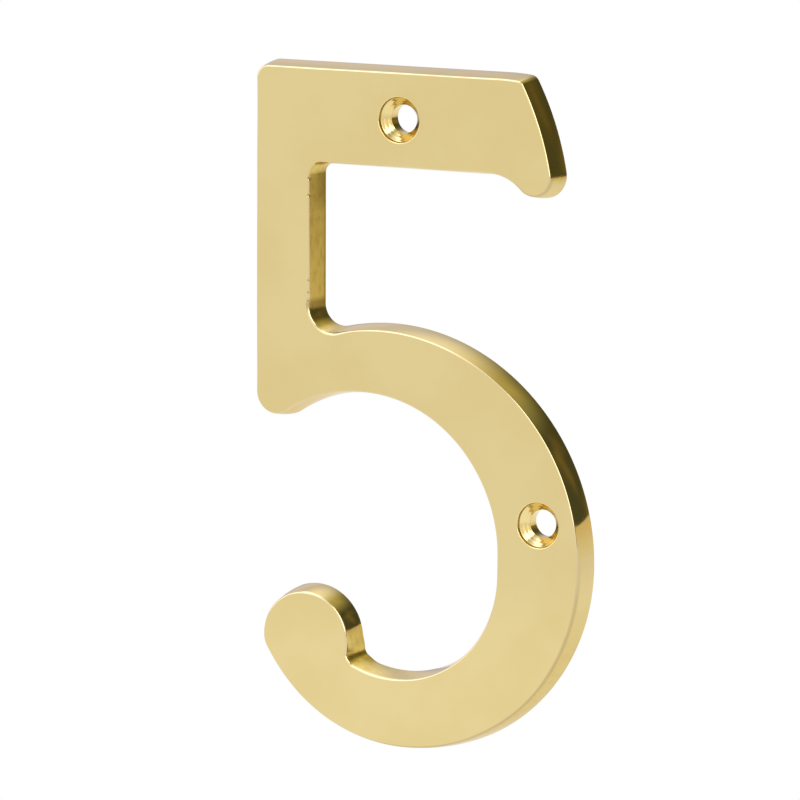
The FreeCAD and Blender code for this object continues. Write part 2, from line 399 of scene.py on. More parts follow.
@dataclass(frozen=True)
class NumeralOutline:
    """Outline of the figure 5 at the back, drawn from its left side and its lowest point.

    The front face's edge lies inside it by front_inset. Outside corners are rounded as they are at the front.
    """

    front_inset: float
    overall_height: float = 101.6 * MM
    overall_width: float = 55.0 * MM
    stem_width: float = 10.1 * MM
    stem_top_radius: float = 1.7 * MM
    stem_root_radius: float = 3.2 * MM
    foot_radius: float = 3.0 * MM
    foot_drop: float = 4.4 * MM
    bar_height: float = 15.1 * MM
    bar_length: float = 44.8 * MM
    bar_droop_length: float = 4.3 * MM
    bar_droop_radius: float = 35.0 * MM
    bar_corner_radius: float = 0.75 * MM
    bar_end_radius: float = 43.0 * MM
    bar_root_radius: float = 1.4 * MM
    hook_reach: float = 50.0 * MM
    hook_drop: float = 3.0 * MM
    hook_radius: float = 3.5 * MM
    hook_hollow_radius: float = 7.0 * MM
    bowl_upper_radius: float = 33.3 * MM
    bowl_lower_radius: float = 30.1 * MM
    bowl_top_stroke: float = 10.6 * MM
    bowl_side_stroke: float = 14.5 * MM
    bowl_bottom_stroke: float = 11.4 * MM
    counter_lower_radius: float = 16.6 * MM
    counter_straight: float = 2.8 * MM
    counter_heel_rise: float = 1.25 * MM
    ball_radius: float = 7.7 * MM
    ball_setback: float = 1.2 * MM
    ball_top: float = 23.2 * MM
    ball_heel_radius: float = 3.4 * MM
    ball_root_radius: float = 1.2 * MM
    upper_hole_inset: float = 24.5 * MM
    lower_hole_height: float = 36.0 * MM

    @property
    def upper_hole(self) -> Vector:
        """Axis of the upper screw hole."""
        return Vector((self.upper_hole_inset, self.overall_height - self.bar_height / 2))

    @property
    def lower_hole(self) -> Vector:
        """Axis of the lower screw hole."""
        return Vector((self.overall_width - self.bowl_side_stroke / 2, self.lower_hole_height))

    def inner_bowl(self) -> dict[Stretch, Guide]:
        """Guides inside the bowl, from the foot of the stem to the ball.

        Returns:
            The guides by stretch.
        """
        right = self.overall_width - self.bowl_side_stroke
        top = self.bowl_lower_radius + self.bowl_upper_radius - self.bowl_top_stroke
        low_z = self.bowl_bottom_stroke + self.counter_lower_radius
        high_z = low_z + self.counter_straight
        upper_radius = top - high_z
        upper = Arc(Vector((right - upper_radius, high_z)), -upper_radius)
        lower = Arc(Vector((right - self.counter_lower_radius, low_z)), -self.counter_lower_radius)
        foot_end = self.foot_radius + self.front_inset
        foot = Arc(Vector((foot_end, top - self.foot_drop + foot_end)), foot_end)
        ball = Arc(Vector((self.ball_setback + self.ball_radius, self.ball_top - self.ball_radius)),
                   self.ball_radius)
        root_level = Straight(Vector((0.0, self.bowl_bottom_stroke + self.counter_heel_rise)), LEFT)
        ball_root = corner(ball, root_level, -self.ball_root_radius, ball.centre + RIGHT * self.ball_radius)
        crown = arc_between(Vector((upper.centre.x, top)), DOWN, foot, hollow=True)
        heel = arc_between(Vector((lower.centre.x, self.bowl_bottom_stroke)), UP, ball_root, hollow=True)
        return {Stretch.FOOT: foot, Stretch.COUNTER_CROWN: crown, Stretch.COUNTER_UPPER: upper,
                Stretch.COUNTER_SIDE: Straight(Vector((right, 0.0)), DOWN), Stretch.COUNTER_LOWER: lower,
                Stretch.COUNTER_HEEL: heel, Stretch.BALL_ROOT: ball_root, Stretch.BALL: ball}

    def outer_bowl(self, ball: Arc) -> dict[Stretch, Guide]:
        """Guides outside the bowl, from the ball's heel to the bowl's crown.

        Args:
            ball: Arc of the ball.

        Returns:
            The guides by stretch.
        """
        heel_end = self.ball_heel_radius + self.front_inset
        ball_heel = Arc(Vector((self.ball_setback + heel_end, ball.centre.y)), heel_end)
        waist = self.bowl_lower_radius
        lower = Arc(Vector((self.overall_width - self.bowl_lower_radius, waist)), self.bowl_lower_radius)
        upper = Arc(Vector((self.overall_width - self.bowl_upper_radius, waist)), self.bowl_upper_radius)
        heel = arc_between(Vector((lower.centre.x, 0.0)), UP, ball_heel, hollow=False)
        return {Stretch.BALL_HEEL: ball_heel, Stretch.BOWL_HEEL: heel, Stretch.BOWL_LOWER: lower,
                Stretch.BOWL_UPPER: upper}

    def stem_and_bar(self, bowl_upper: Arc) -> dict[Stretch, Guide]:
        """Guides of the stem and the top bar with its hook.

        Args:
            bowl_upper: Upper arc outside the bowl, which the stem meets.

        Returns:
            The guides by stretch.
        """
        under_bar = self.overall_height - self.bar_height
        stem_left = Straight(Vector((0.0, 0.0)), DOWN)
        stem_right = Straight(Vector((self.stem_width, 0.0)), UP)
        underside = Straight(Vector((0.0, under_bar)), RIGHT)
        top_left = Vector((0.0, self.overall_height))
        top = Straight(top_left, LEFT)
        tip = Vector((self.bar_length, self.overall_height))
        droop = Arc(tip - Vector((self.bar_droop_length, self.bar_droop_radius)), self.bar_droop_radius)
        hook_level = under_bar - self.hook_drop + self.hook_radius
        hook = Arc(Vector((self.hook_reach - self.hook_radius, hook_level)), self.hook_radius)
        end_centres = crossings(Arc(tip, self.bar_end_radius),
                                Arc(hook.centre, self.bar_end_radius - self.hook_radius))
        bar_end = Arc(min(end_centres, key=lambda centre: centre.x), self.bar_end_radius)
        bowl_level = Vector((self.stem_width, bowl_upper.centre.y + bowl_upper.radius - self.bowl_top_stroke))
        stem_root = corner(bowl_upper, stem_right, -self.stem_root_radius, bowl_level)
        bar_root = corner(stem_right, underside, -self.bar_root_radius, Vector((self.stem_width, under_bar)))
        hollow = corner(underside, hook, -self.hook_hollow_radius, Vector((0.0, under_bar)))
        bar_corner = corner(bar_end, droop, self.bar_corner_radius + self.front_inset, tip)
        stem_top = corner(top, stem_left, self.stem_top_radius + self.front_inset, top_left)
        return {Stretch.STEM_LEFT: stem_left, Stretch.STEM_ROOT: stem_root, Stretch.STEM_RIGHT: stem_right,
                Stretch.BAR_ROOT: bar_root, Stretch.BAR_UNDERSIDE: underside, Stretch.HOOK_HOLLOW: hollow,
                Stretch.HOOK: hook, Stretch.BAR_END: bar_end, Stretch.BAR_CORNER: bar_corner,
                Stretch.BAR_DROOP: droop, Stretch.BAR_TOP: top, Stretch.STEM_TOP: stem_top}

    def guides(self) -> dict[Stretch, Guide]:
        """All guides, in order round the figure.

        Returns:
            The guides by stretch, in the order of Stretch.
        """
        found = self.inner_bowl()
        found.update(self.outer_bowl(found[Stretch.BALL]))
        found.update(self.stem_and_bar(found[Stretch.BOWL_UPPER]))
        return {stretch: found[stretch] for stretch in Stretch}


@dataclass(frozen=True)
class Course:
    """Stations round the outline, where the side wall's section stands.

    Each has a place, a direction into the brass, the length travelled up to it, and a stretch.
    """

    places: np.ndarray
    inward: np.ndarray
    run: np.ndarray
    stretches: tuple[Stretch, ...]


@dataclass(frozen=True)
class Stationing:
    """How closely stations follow each other along the outline."""

    spacing: float = 0.4 * MM
    fine_spacing: float = 0.12 * MM
    largest_turn: float = math.radians(4.0)
    fine_stretches: tuple[Stretch, ...] = (Stretch.STEM_RIGHT,)

    def count(self, stretch: Stretch, length: float, turn: float) -> int:
        """Number of stations on a stretch of that length, which turns by that angle."""
        spacing = self.fine_spacing if stretch in self.fine_stretches else self.spacing
        return max(1, math.ceil(length / spacing), math.ceil(turn / self.largest_turn))

    def course(self, guides: dict[Stretch, Guide]) -> Course:
        """Stations round the whole outline.

        Args:
            guides: Guides of the outline by stretch, in order.

        Returns:
            The stations, in order.
        """
        chain = list(guides.values())
        ends = [joint(before, after) for before, after in zip(chain, chain[1:] + chain[:1])]
        starts = ends[-1:] + ends[:-1]
        made: list[tuple[Vector, Vector, float, Stretch]] = []
        travelled = 0.0
        for (stretch, guide), start, end in zip(guides.items(), starts, ends):
            length, turn = guide.measure(start, end)
            steps = self.count(stretch, length, turn)
            for step in range(steps):
                place = guide.along(start, end, step / steps)
                run = travelled + length * step / steps
                made.append((place, guide.towards_brass(place), run, stretch))
            travelled += length
        places, inward, runs, stretches = zip(*made)
        return Course(np.array(places), np.array(inward), np.array(runs), stretches)


@dataclass(frozen=True)
class HandFinish:
    """Slow changes along the edges, left by polishing by hand on a wheel."""

    lean_change: float = math.radians(0.6)
    easing_change: float = 0.22
    lean_waves: tuple[int, ...] = (5, 11, 23)
    easing_waves: tuple[int, ...] = (7, 17, 31)

    @staticmethod
    def wave(share: np.ndarray, counts: Sequence[int]) -> np.ndarray:
        """Smooth change from -1 to 1 at each share of the way round, of waves that come round so often."""
        waves = [np.sin(math.tau * (count * share + 1.0 / count)) for count in counts]
        return np.sum(waves, axis=0) / len(counts)

    def lean(self, share: np.ndarray, draft: float) -> np.ndarray:
        """Draft of the wall at each share of the way round."""
        return draft + self.lean_change * self.wave(share, self.lean_waves)

    def easing(self, share: np.ndarray, radius: float) -> np.ndarray:
        """Radius of the front edge at each share of the way round."""
        return radius * (1 + self.easing_change * self.wave(share, self.easing_waves))


@dataclass(frozen=True)
class Patch:
    """A length of the side wall that differs from the rest, from one share of a stretch to another."""

    stretch: Stretch
    start: float
    end: float
    amount: float
    fade: float = 1.5 * MM

    def strength(self, course: Course) -> np.ndarray:
        """How strong the patch is along the outline.

        Args:
            course: Stations round the outline.

        Returns:
            Its amount at each station, fading out beyond its ends.
        """
        inside = course.run[[stretch is self.stretch for stretch in course.stretches]]
        length = inside[-1] - inside[0]
        before = inside[0] + self.start * length - course.run
        after = course.run - inside[0] - self.end * length
        beyond = np.maximum(np.maximum(before, after), 0.0) / self.fade
        return self.amount * np.clip(1.0 - beyond, 0.0, 1.0)


@dataclass(frozen=True)
class SkinAndShadePatch(Patch):
    """A patch that the polishing wheel didn't reach, where the casting's duller, rougher skin is left; its
    darker, warmer tone is partly painted shade.
    """

    front_loss: float = 0.3
    edge_share: float = 0.25


@dataclass(frozen=True)
class PaintedShadePatch(Patch):
    """A patch of painted shade on the side wall, strongest about a level above the back."""

    reach: float = 0.45 * MM
    level: float = 0.0


@dataclass(frozen=True)
class Nick:
    """A small dent in the front edge of the stem's right side."""

    height: float
    size: float
    depth: float


@dataclass(frozen=True)
class Countersink:
    """A screw hole with its countersink below a short lip, turned with a tool that left faint rings."""

    thickness: float = THICKNESS
    hole_radius: float = 2.1 * MM
    lip_radius: float = 3.35 * MM
    lip_depth: float = 0.52 * MM
    rim_radius: float = 0.15 * MM
    half_angle: float = math.radians(45.0)
    inner_easing: float = 0.10 * MM
    back_easing: float = 0.70 * MM
    ring_depth: float = 0.002 * MM
    ring_pitch: float = 0.62 * MM
    ring_start: float = 0.05 * MM
    ring_fade: float = 0.1 * MM
    # Painted shade in the corner under the lip and, weaker, in the hole.
    lip_painted_shade: float = 0.8
    lip_painted_shade_above: float = 0.30 * MM
    lip_painted_shade_below: float = 0.03 * MM
    lip_painted_shade_fade: float = 0.06 * MM
    hole_painted_shade: float = 0.10
    hole_painted_shade_reach: float = 0.01 * MM
    hole_painted_shade_fade: float = 0.05 * MM
    cone_steps: int = 48
    easing_steps: int = 6
    segments: int = 144

    def cone(self) -> np.ndarray:
        """Cone with its rings, and the rounded edge where it passes into the hole.

        Returns:
            One row for each point: its radius, and how far it rises from the back.
        """
        slope = np.array((-math.sin(self.half_angle), -math.cos(self.half_angle)))
        into_brass = np.array((math.cos(self.half_angle), -math.sin(self.half_angle)))
        start = np.array((self.lip_radius, self.thickness - self.lip_depth))
        reach = self.inner_easing * math.tan(self.half_angle / 2)
        length = (self.lip_radius - self.hole_radius) / math.sin(self.half_angle)
        run = np.linspace(0.0, length - reach, self.cone_steps + 1)
        cone = start + slope * run[:, None] + into_brass * self.rings(run)[:, None]
        centre = start + slope * length + np.array((self.inner_easing, -reach))
        edge = eased_edge(centre, self.inner_easing, (self.half_angle, 0.0), self.easing_steps)
        return np.vstack((cone, edge[1:]))

    def rings(self, run: np.ndarray) -> np.ndarray:
        """Depth of the tool's rings along the cone, fading out at both ends."""
        fade = np.clip(np.minimum(run, run[-1] - run) / self.ring_fade, 0.0, 1.0)
        return fade * self.ring_depth * np.sin(math.tau * (self.ring_start - run) / self.ring_pitch)

    def profile(self) -> np.ndarray:
        """Points of the turned profile from the front face to the back: rim, cone and the hole's back edge.

        Returns:
            One row for each point: its radius, and how far it rises from the back.
        """
        rim_centre = (self.lip_radius + self.rim_radius, self.thickness - self.rim_radius)
        rim = eased_edge(rim_centre, self.rim_radius, (math.pi / 2, 0.0), self.easing_steps)
        back_centre = (self.hole_radius + self.back_easing, self.back_easing)
        back = eased_edge(back_centre, self.back_easing, (0.0, -math.pi / 2), self.easing_steps)
        return np.vstack((rim, self.cone(), back))

    def painted_shade(self) -> np.ndarray:
        """How much painted shade each point of the profile has, from 0 to 1: the corner under the lip most,
        then the hole.

        Returns:
            The share of painted shade at each point.
        """
        radius, rise = self.profile().T
        above = rise - self.thickness + self.lip_depth
        from_lip = np.maximum(np.maximum(above - self.lip_painted_shade_above, -above - self.lip_painted_shade_below), 0.0)
        from_hole = np.maximum(radius - self.hole_radius - self.hole_painted_shade_reach, 0.0)
        lip = self.lip_painted_shade * np.exp(-(from_lip / self.lip_painted_shade_fade) ** 2)
        hole = self.hole_painted_shade * np.exp(-(from_hole / self.hole_painted_shade_fade) ** 2)
        return np.maximum(lip, hole)


class CastingMesh:
    """Collects the casting's points, faces and exact normals, and makes one mesh of them."""

    def __init__(self) -> None:
        """Start with nothing collected."""
        self.points: list[np.ndarray] = []
        self.point_count: int = 0
        self.faces: list[tuple[int, ...]] = []
        self.surfaces: list[int] = []
        self.normals: list[Sequence[float]] = []

    def add_grid(self, points: np.ndarray, normals: np.ndarray, surfaces: Sequence[Surface]) -> np.ndarray:
        """Add a band that closes on itself along its first axis.

        Args:
            points: Points of the band, by station and row.
            normals: Normals at those points.
            surfaces: Surface of the faces between each row and the next.

        Returns:
            Index of each point.
        """
        stations, rows = points.shape[:2]
        index = self.point_count + np.arange(stations * rows).reshape(stations, rows)
        self.points.append(points.reshape(-1, 3))
        self.point_count += stations * rows
        for station in range(stations):
            after = (station + 1) % stations
            for row, surface in enumerate(surfaces):
                corners = [(station, row), (after, row), (after, row + 1), (station, row + 1)]
                self.faces.append(tuple(int(index[at]) for at in corners))
                self.surfaces.append(surface.value)
                self.normals.extend(normals[at] for at in corners)
        return index

    def add_flat(self, loops: Sequence[np.ndarray], normal: Vector, surface: Surface) -> None:
        """Add a flat face with holes, cut into triangles.

        Args:
            loops: Indices of the outer loop and of each hole's loop.
            normal: Direction that the face looks in.
            surface: Surface that it belongs to.
        """
        points = np.vstack(self.points)
        order = np.concatenate(loops)
        outlines = [[Vector((*points[i][[0, 2]], 0.0)) for i in loop] for loop in loops]
        for triangle in tessellate_polygon(outlines):
            ends = [int(order[i]) for i in triangle]
            first, second, third = (Vector(points[i]) for i in ends)
            if (second - first).cross(third - first).dot(normal) < 0:
                ends.reverse()
            self.faces.append(tuple(ends))
            self.surfaces.append(surface.value)
            self.normals.extend([tuple(normal)] * 3)

    def finished(self, name: str) -> bpy.types.Mesh:
        """Make the mesh.

        Args:
            name: Name of the mesh.

        Returns:
            The mesh, smooth, with its exact normals.
        """
        mesh = bpy.data.meshes.new(name)
        mesh.from_pydata(np.vstack(self.points).tolist(), [], self.faces)
        mesh.polygons.foreach_set("material_index", self.surfaces)
        mesh.polygons.foreach_set("use_smooth", [True] * len(self.faces))
        mesh.normals_split_custom_set([tuple(normal) for normal in self.normals])
        mesh.update()
        return mesh


class Mixed(Enum):
    """What a mix node blends: Blender's name for it, and the numbers of its two inputs and its output."""

    VALUE = ("FLOAT", 2, 3, 0)
    COLOUR = ("RGBA", 6, 7, 2)


class NodeBoard:
    """Adds nodes to the node tree of a material or a world, and joins them."""

    def __init__(self, owner: Union[bpy.types.Material, bpy.types.World]) -> None:
        """Take over the owner's node tree and clear it.

        Args:
            owner: The material or the world.
        """
        owner.use_nodes = True
        self.tree = owner.node_tree
        self.tree.nodes.clear()

    def add(self, kind: str, inputs: dict[Union[str, int], Value], **settings: str) -> bpy.types.Node:
        """Add a node.

        Args:
            kind: Blender's name for the type of node.
            inputs: Value for each socket, or the output that is joined to it.
            settings: The node's own settings.

        Returns:
            The node.
        """
        node = self.tree.nodes.new(kind)
        for name, value in settings.items():
            setattr(node, name, value)
        for socket, value in inputs.items():
            if isinstance(value, Socket):
                self.tree.links.new(value, node.inputs[socket])
            else:
                node.inputs[socket].default_value = value
        return node

    def coordinates(self, kind: str) -> Socket:
        """Texture coordinates of one kind."""
        return self.add("ShaderNodeTexCoord", {}).outputs[kind]

    def layer(self, name: str) -> Socket:
        """Value that the mesh carries under a name."""
        return self.add("ShaderNodeAttribute", {}, attribute_name=name).outputs["Fac"]

    def math(self, operation: str, *values: Value) -> Socket:
        """Join values by arithmetic."""
        return self.add("ShaderNodeMath", dict(enumerate(values)), operation=operation).outputs["Value"]

    def along(self, places: Socket, direction: Sequence[float]) -> Socket:
        """How far places lie along a direction."""
        inputs = {0: places, 1: tuple(direction)}
        return self.add("ShaderNodeVectorMath", inputs, operation="DOT_PRODUCT").outputs["Value"]

    def noise(self, places: Socket, stretch: Sequence[float], size: float, detail: float) -> Socket:
        """Noise of a given grain.

        Args:
            places: Places on the object, in metres.
            stretch: How the grain is drawn out along X, Y and Z, 1 for not at all.
            size: Size of the grain in metres.
            detail: How much finer grain lies within it.

        Returns:
            The noise, about 0.5.
        """
        scale = tuple(share / size for share in stretch)
        scaled = self.add("ShaderNodeVectorMath", {0: places, 1: scale}, operation="MULTIPLY")
        inputs = {"Vector": scaled.outputs["Vector"], "Scale": 1.0, "Detail": detail}
        return self.add("ShaderNodeTexNoise", inputs).outputs["Fac"]

    def spread(self, value: Socket, low: float, high: float, to_low: float = 0.0,
               to_high: float = 1.0) -> Socket:
        """Map a value smoothly, so that low becomes to_low and high becomes to_high."""
        inputs = {"Value": value, "From Min": low, "From Max": high, "To Min": to_low, "To Max": to_high}
        return self.add("ShaderNodeMapRange", inputs, interpolation_type="SMOOTHSTEP").outputs["Result"]

    def blend(self, share: Socket, first: Value, second: Value, mixed: Mixed = Mixed.COLOUR) -> Socket:
        """Blend two colours or values.

        Args:
            share: Share of the second one.
            first: The first colour or value.
            second: The second one.
            mixed: What is blended.

        Returns:
            The blend.
        """
        kind, first_input, second_input, output = mixed.value
        inputs = {0: share, first_input: first, second_input: second}
        return self.add("ShaderNodeMix", inputs, data_type=kind).outputs[output]

    def shine(self, colour: Value, strength: Value) -> None:
        """Let the material shine by itself."""
        light = self.add("ShaderNodeEmission", {"Color": colour, "Strength": strength})
        self.add("ShaderNodeOutputMaterial", {"Surface": light.outputs["Emission"]})


@dataclass(frozen=True)
class BrassFinish:
    """Brass with the finish that one surface of the casting has."""

    name: str
    marks: Marks
    light_tone: Colour = (0.80, 0.655, 0.315)
    deep_tone: Colour = (0.775, 0.620, 0.285)
    edge_tint: Colour = (1.0, 1.0, 1.0)
    roughness: tuple[float, float] = (0.045, 0.085)
    mottle_size: float = 14 * MM
    mottle_detail: float = 3.0
    mottle_range: tuple[float, float] = (0.35, 0.65)
    mark_size: float = 0.25 * MM
    mark_detail: float = 2.0
    mark_range: tuple[float, float] = (0.3, 0.7)
    mark_depth: float = 0.05 * MICRON
    ripple_size: float = 5 * MM
    ripple_detail: float = 1.0
    ripple_depth: float = 1.5 * MICRON
    has_skin_and_shade: bool = False
    # Darker, warmer tone of the skin: partly the skin's own colour, partly painted shade.
    skin_and_shade_tone: Colour = (0.71, 0.52, 0.11)
    skin_roughness: float = 0.36
    skin_grain: float = 0.30 * MM
    skin_detail: float = 3.0
    skin_stretch: tuple[float, float, float] = (0.35, 1.0, 1.0)
    skin_depth: float = 9 * MICRON
    tarnish_tone: Colour = (0.56, 0.40, 0.07)
    tarnish_size: float = 0.8 * MM
    tarnish_detail: float = 4.0
    tarnish_stretch: tuple[float, float, float] = (1.0, 1.0, 0.5)
    tarnish_range: tuple[float, float] = (0.42, 0.68)
    # Painted shade: where the mesh's layer says, the tone darkens to the tone below and the brass grows
    # rougher.
    has_painted_shade: bool = False
    painted_shade_tone: Colour = (0.25, 0.145, 0.015)
    painted_shade_roughness: float = 0.5

    def material(self) -> bpy.types.Material:
        """Make the finish's material.

        Returns:
            The material.
        """
        material = bpy.data.materials.new(self.name)
        board = NodeBoard(material)
        places = board.coordinates("Object")
        mottle = board.noise(places, Marks.MIRROR.value, self.mottle_size, self.mottle_detail)
        marks = board.noise(places, self.marks.value, self.mark_size, self.mark_detail)
        ripple = board.noise(places, Marks.MIRROR.value, self.ripple_size, self.ripple_detail)
        deepened = board.spread(mottle, *self.mottle_range)
        tone = board.blend(deepened, opaque(self.light_tone), opaque(self.deep_tone))
        rough = board.spread(marks, *self.mark_range, *self.roughness)
        ripple_height = board.math("MULTIPLY", ripple, self.ripple_depth)
        height = board.math("MULTIPLY_ADD", marks, self.mark_depth, ripple_height)
        if self.has_skin_and_shade:
            tone, rough, height = self.cast_skin_and_shade(board, places, tone, rough, height)
        if self.has_painted_shade:
            # Painted shade darkens the tone where the mesh's layer says.
            painted_shade = board.layer(PAINTED_SHADE_LAYER)
            tone = board.blend(painted_shade, tone, opaque(self.painted_shade_tone))
            rough = board.blend(painted_shade, rough, self.painted_shade_roughness, Mixed.VALUE)
        bump = board.add("ShaderNodeBump", {"Height": height, "Distance": 1.0, "Strength": 1.0})
        brass = {"Base Color": tone, "Roughness": rough, "Metallic": 1.0,
                 "Specular Tint": opaque(self.edge_tint), "Normal": bump.outputs["Normal"]}
        shader = board.add("ShaderNodeBsdfPrincipled", brass)
        board.add("ShaderNodeOutputMaterial", {"Surface": shader.outputs["BSDF"]})
        return material

    def cast_skin_and_shade(self, board: NodeBoard, places: Socket, tone: Socket, rough: Socket,
                  height: Socket) -> tuple[Socket, Socket, Socket]:
        """Lay the duller skin of the casting over places that the wheel didn't reach, with its darker tone,
        which is partly painted shade.

        Args:
            board: Node board of the material.
            places: Places on the object.
            tone: Colour of the polished brass.
            rough: Its roughness.
            height: Its height.

        Returns:
            Colour, roughness and height with the skin laid over them.
        """
        skin = board.layer(SKIN_AND_SHADE_LAYER)
        grain = board.noise(places, self.skin_stretch, self.skin_grain, self.skin_detail)
        tarnish = board.noise(places, self.tarnish_stretch, self.tarnish_size, self.tarnish_detail)
        tarnished = board.spread(tarnish, *self.tarnish_range)
        skin_and_shade_tone = board.blend(tarnished, opaque(self.skin_and_shade_tone), opaque(self.tarnish_tone))
        dulled = board.blend(skin, tone, skin_and_shade_tone)
        rougher = board.blend(skin, rough, self.skin_roughness, Mixed.VALUE)
        relief = board.math("MULTIPLY", board.math("MULTIPLY", grain, skin), self.skin_depth)
        return dulled, rougher, board.math("ADD", height, relief)


FINISHES: dict[Surface, BrassFinish] = {
    Surface.FRONT: BrassFinish("brass_polished_face", Marks.MIRROR),
    Surface.WALL: BrassFinish(
        "brass_buffed_wall", Marks.BUFFED, light_tone=(0.755, 0.610, 0.290), deep_tone=(0.73, 0.580, 0.265),
        edge_tint=(0.91, 0.84, 0.72), mark_size=0.12 * MM, ripple_size=4 * MM, ripple_depth=10 * MICRON,
        has_skin_and_shade=True, has_painted_shade=True),
    Surface.COUNTERSINK: BrassFinish(
        "brass_turned_countersink", Marks.TURNED, light_tone=(0.87, 0.71, 0.33), deep_tone=(0.85, 0.68, 0.30),
        roughness=(0.11, 0.15), mark_size=0.1 * MM, has_painted_shade=True),
    Surface.BACK: BrassFinish(
        "brass_ground_back", Marks.GROUND, roughness=(0.28, 0.42), mark_size=0.12 * MM,
        mark_depth=1.2 * MICRON),
    # The front edge's paler tone is a painted highlight that whitens the reflections along the edge.
    Surface.FRONT_EDGE: BrassFinish(
        "brass_edge_painted_highlight", Marks.MIRROR, light_tone=(0.79, 0.66, 0.37), deep_tone=(0.76, 0.62, 0.34),
        has_skin_and_shade=True, has_painted_shade=True),
}


@dataclass(frozen=True)
class Numeral:
    """The casting: outline, side wall, countersinks, the marks of its making and its painted shade.

    The front edge is rounder along worn_edges, and the hollow at filled_root is filled at the back.
    """

    section: WallSection = WallSection()
    outline: NumeralOutline = NumeralOutline(WallSection().front_inset)
    stationing: Stationing = Stationing()
    countersink: Countersink = Countersink()
    hand_finish: HandFinish = HandFinish()
    name: str = "brass_numeral"
    body: str = "root"
    node: str = "numeral"
    slot: str = "brass"
    skin_and_shade_patches: tuple[SkinAndShadePatch, ...] = (
        # Painted shade: less skin towards the front makes the stem's right side darker towards the back.
        SkinAndShadePatch(Stretch.STEM_RIGHT, 0.0, 1.0, 1.0, front_loss=0.55, edge_share=0.1),
        # In the hollows the skin's darker, warmer tone is partly painted shade.
        SkinAndShadePatch(Stretch.STEM_ROOT, 0.0, 0.75, 0.60, fade=2.0 * MM),
        SkinAndShadePatch(Stretch.BAR_ROOT, 0.0, 1.0, 0.8),
        SkinAndShadePatch(Stretch.BALL_ROOT, 0.0, 1.0, 1.0, fade=2.5 * MM),
        SkinAndShadePatch(Stretch.BALL, 0.0, 0.10, 0.85, fade=1.2 * MM),
        SkinAndShadePatch(Stretch.COUNTER_HEEL, 0.7, 1.0, 0.6, fade=4.0 * MM),
        SkinAndShadePatch(Stretch.COUNTER_HEEL, 0.0, 0.7, 0.35, fade=5.0 * MM),
        SkinAndShadePatch(Stretch.HOOK, 0.9, 1.0, 0.4, fade=0.6 * MM, front_loss=0.0),
        SkinAndShadePatch(Stretch.BAR_END, 0.0, 1.0, 0.22, fade=2.0 * MM, front_loss=-1.6),
        # Painted shade: the lower bowl's darker tone stands in for the shadowed table that it reflects.
        SkinAndShadePatch(Stretch.BOWL_LOWER, 0.0, 0.7, 0.3, fade=9.0 * MM, front_loss=0.0),
    )
    # Painted shade: dark corners at both ends of the stem's right side, a dark line along its back edge, and
    # a dark band near the front of the lower bowl and the hook, which stands in for the shadowed table that
    # they reflect.
    painted_shade_patches: tuple[PaintedShadePatch, ...] = (
        PaintedShadePatch(Stretch.STEM_RIGHT, 0.0, 0.02, 0.70, fade=0.9 * MM, reach=6.0 * MM),
        PaintedShadePatch(Stretch.STEM_RIGHT, 0.84, 0.95, 0.60, fade=2.5 * MM, reach=2.4 * MM),
        PaintedShadePatch(Stretch.STEM_RIGHT, 0.0, 1.0, 0.65),
        PaintedShadePatch(Stretch.BOWL_LOWER, 0.0, 0.9, 0.34, fade=8.0 * MM, reach=0.30 * MM, level=4.0 * MM),
        PaintedShadePatch(Stretch.HOOK, 0.0, 0.8, 0.34, reach=0.30 * MM, level=4.0 * MM),
    )
    worn_edges: tuple[Patch, ...] = (
        Patch(Stretch.STEM_ROOT, 0.0, 1.0, 0.9, fade=2.5 * MM),
        Patch(Stretch.BALL_ROOT, 0.0, 1.0, 0.8, fade=2.5 * MM),
        Patch(Stretch.BALL, 0.0, 0.5, 0.8, fade=4.0 * MM),
        Patch(Stretch.COUNTER_HEEL, 0.6, 1.0, 0.7, fade=5.0 * MM),
        Patch(Stretch.BAR_END, 0.0, 1.0, 0.4, fade=2.0 * MM),
    )
    filled_root: Patch = Patch(Stretch.BALL_ROOT, 0.5, 0.5, 1.0, fade=3.2 * MM)
    root_fill: float = 0.6 * MM
    nicks: tuple[Nick, ...] = (
        Nick(84.6 * MM, 0.20 * MM, 0.05 * MM),
        Nick(82.1 * MM, 0.18 * MM, 0.05 * MM),
        Nick(69.4 * MM, 0.16 * MM, 0.03 * MM),
        Nick(67.6 * MM, 0.14 * MM, 0.02 * MM),
        Nick(66.3 * MM, 0.16 * MM, 0.03 * MM),
        Nick(65.2 * MM, 0.14 * MM, 0.02 * MM),
    )

    def placed(self, flat: np.ndarray, rise: np.ndarray) -> np.ndarray:
        """Points in the row frame, from places in the outline's plane and how far they rise from the back."""
        moved = flat - np.array(self.outline.upper_hole)
        return np.stack((moved[..., 0], -rise, moved[..., 1]), axis=-1)

    @cached_property
    def course(self) -> Course:
        """Stations round the outline."""
        return self.stationing.course(self.outline.guides())

    def wall_points(self) -> np.ndarray:
        """Points of the side wall, by station and row, from the back to the front.

        Returns:
            The points, before any nick.
        """
        run = self.course.run
        share = run / (run[-1] + run[1])
        lean = self.hand_finish.lean(share, self.section.draft)
        worn = np.max([patch.strength(self.course) for patch in self.worn_edges], axis=0)
        easing = self.hand_finish.easing(share, self.section.front_easing) * (1.0 + worn)
        rows = np.array([self.section.rows(radius, angle) for radius, angle in zip(easing, lean)])
        filled = self.root_fill * np.sin(math.pi / 2 * self.filled_root.strength(self.course)) ** 2
        inset = rows[:, :, 0] - filled[:, None] * (1.0 - rows[:, :, 1] / self.section.thickness)
        flat = self.course.places[:, None, :] + self.course.inward[:, None, :] * inset[:, :, None]
        return self.placed(flat, rows[:, :, 1])

